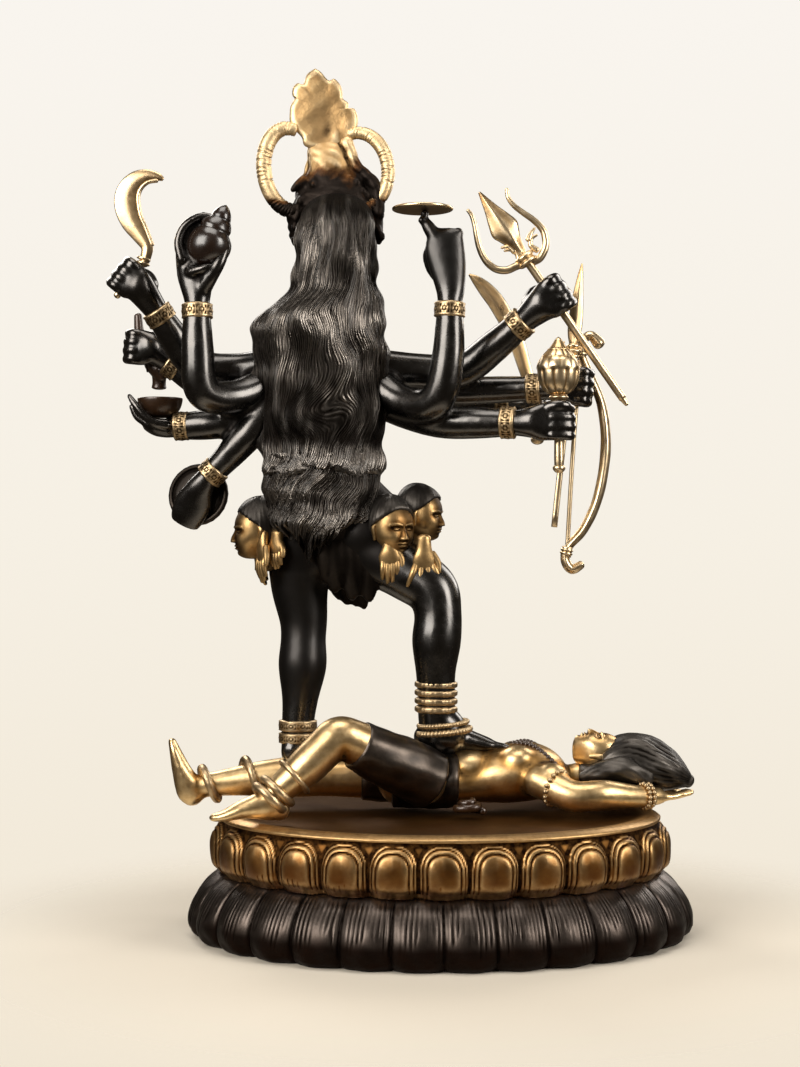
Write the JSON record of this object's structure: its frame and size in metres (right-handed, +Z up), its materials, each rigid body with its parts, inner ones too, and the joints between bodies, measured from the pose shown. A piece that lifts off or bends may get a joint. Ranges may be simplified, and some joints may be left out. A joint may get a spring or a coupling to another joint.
{
  "type": "kali figure",
  "caption": "Standing multi-armed deity statue in cast brass on a lying figure and an oval double-lotus plinth, with raised attributes in its hands.",
  "frame": {"origin": "centre of the flat underside of the plinth", "axes": "+Z up, +Y the way the standing figure faces, +X towards its right hand and the head of the lying figure"},
  "size_m": [0.5129, 0.3324, 0.7602],
  "materials": {
    "black_patina": "near-black patina over cast brass, semi-gloss, worn warm brown on high points",
    "antique_brass": "antique brass, brushed, dark brown in the recesses",
    "polished_brass": "satin polished brass with light tarnish"
  },
  "bodies": {
    "root": {"lotus_plinth": "black_patina", "lotus_seat": "antique_brass", "lying_figure": "antique_brass", "kali_figure": "black_patina", "disc": "polished_brass", "trident": "polished_brass", "sickle": "polished_brass", "sword": "polished_brass", "mace": "polished_brass", "bow": "polished_brass", "arrow": "polished_brass"}
  },
  "joints": []
}
